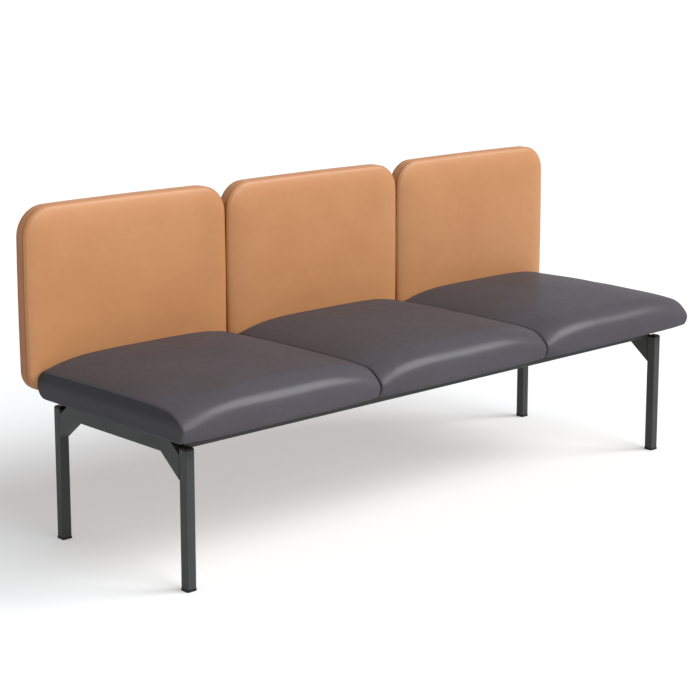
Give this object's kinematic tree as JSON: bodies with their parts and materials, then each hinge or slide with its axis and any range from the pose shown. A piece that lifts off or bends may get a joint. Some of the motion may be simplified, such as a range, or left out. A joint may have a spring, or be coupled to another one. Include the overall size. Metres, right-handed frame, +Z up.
{
  "type": "armless beam bench",
  "caption": "Armless beam bench with separate crowned waterfall seats, rounded upright backs and a square-tube steel frame with slanted corner brackets.",
  "frame": {"origin": "on the floor, under the middle of the whole bench's length and depth", "axes": "+X along the bench, -Y towards the front of the seats, +Z up"},
  "size_m": [1.839, 0.6275, 0.826],
  "materials": {
    "back_leather": "tan, smooth, satin",
    "seat_leather": "charcoal, smooth, satin",
    "frame_paint": "dark grey powder coat, matt",
    "black_plastic": "black, moulded",
    "plywood": "raw",
    "zinc_steel": "zinc plated",
    "black_steel": "black oxide"
  },
  "bodies": {
    "root": {"leg_front_left": "frame_paint", "leg_front_right": "frame_paint", "leg_rear_left": "frame_paint", "leg_rear_right": "frame_paint", "foot_front_left": "black_plastic", "foot_front_right": "black_plastic", "foot_rear_left": "black_plastic", "foot_rear_right": "black_plastic", "leg_cap_front_left": "black_plastic", "leg_cap_front_right": "black_plastic", "leg_cap_rear_left": "black_plastic", "leg_cap_rear_right": "black_plastic", "corner_bracket_front_left": "frame_paint", "corner_bracket_front_right": "frame_paint", "corner_bracket_rear_left": "frame_paint", "corner_bracket_rear_right": "frame_paint", "crossrail_left": "frame_paint", "crossrail_right": "frame_paint", "crossbar_left": "frame_paint", "crossbar_right": "frame_paint", "front_rail": "frame_paint", "rear_rail": "frame_paint", "back_upright_1": "frame_paint", "back_upright_2": "frame_paint", "back_upright_3": "frame_paint", "back_upright_4": "frame_paint", "back_upright_5": "frame_paint", "back_upright_6": "frame_paint", "seat_cushion_left": "seat_leather", "seat_cushion_middle": "seat_leather", "seat_cushion_right": "seat_leather", "seat_board_left": "plywood", "seat_board_middle": "plywood", "seat_board_right": "plywood", "back_cushion_left": "back_leather", "back_cushion_middle": "back_leather", "back_cushion_right": "back_leather", "back_board_left": "plywood", "back_board_middle": "plywood", "back_board_right": "plywood", "back_panel_left": "back_leather", "back_panel_middle": "back_leather", "back_panel_right": "back_leather", "seat_bolts": "zinc_steel", "seat_tee_nuts": "zinc_steel", "back_bolts": "black_steel", "back_tee_nuts": "zinc_steel", "upright_bolts": "zinc_steel", "upright_nuts": "zinc_steel", "frame_bolts": "black_steel"}
  },
  "joints": []
}
